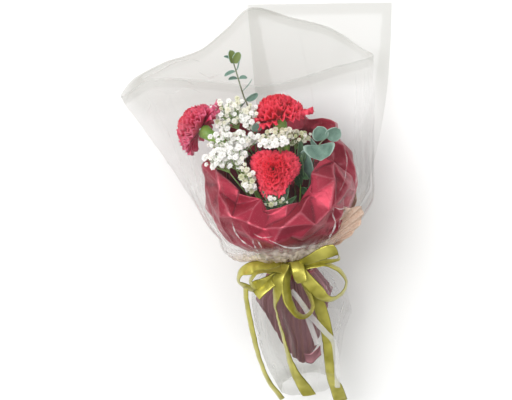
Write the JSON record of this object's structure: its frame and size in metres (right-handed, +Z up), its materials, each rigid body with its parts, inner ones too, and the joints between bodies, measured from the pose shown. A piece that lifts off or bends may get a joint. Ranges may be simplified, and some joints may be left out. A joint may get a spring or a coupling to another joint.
{
  "type": "mixed flower bouquet",
  "caption": "Wrapped bouquet lying on its back: red carnations, baby's breath and eucalyptus in a burgundy paper collar and clear film, tied at the neck with a satin ribbon bow.",
  "frame": {"origin": "below the middle of the whole bouquet's box, on the surface that it lies on", "axes": "+Y towards the flower heads, +X across to the right as seen from above with the heads at the top, +Z up from the surface"},
  "size_m": [0.3084, 0.4558, 0.2062],
  "materials": {
    "burgundy_paper": "satin, creased",
    "clear_film": "clear, slightly milky",
    "pink_paper": "matte",
    "satin_ribbon": "satin",
    "rubber_band": "matte",
    "red_petals": "matte, petal",
    "crimson_petals": "matte, petal",
    "green_stems": "matte, plant stem",
    "eucalyptus_leaves": "matte, waxy leaf",
    "dark_leaves": "satin leaf",
    "white_florets": "matte, petal"
  },
  "bodies": {
    "root": {"collar_paper": "burgundy_paper", "film_wrap": "clear_film", "film_backing": "clear_film", "pink_paper": "pink_paper", "ribbon": "satin_ribbon", "stem_binding": "rubber_band", "carnation_top": "red_petals", "carnation_top_stem": "green_stems", "carnation_front": "red_petals", "carnation_front_stem": "green_stems", "carnation_left": "crimson_petals", "carnation_left_stem": "green_stems", "eucalyptus_top": "eucalyptus_leaves", "eucalyptus_right": "eucalyptus_leaves", "eucalyptus_middle": "eucalyptus_leaves", "greens_right": "dark_leaves", "greens_front": "dark_leaves", "gypsophila_top": "white_florets", "gypsophila_left": "white_florets", "gypsophila_left_front": "white_florets", "gypsophila_middle": "white_florets", "gypsophila_front": "white_florets"}
  },
  "joints": []
}
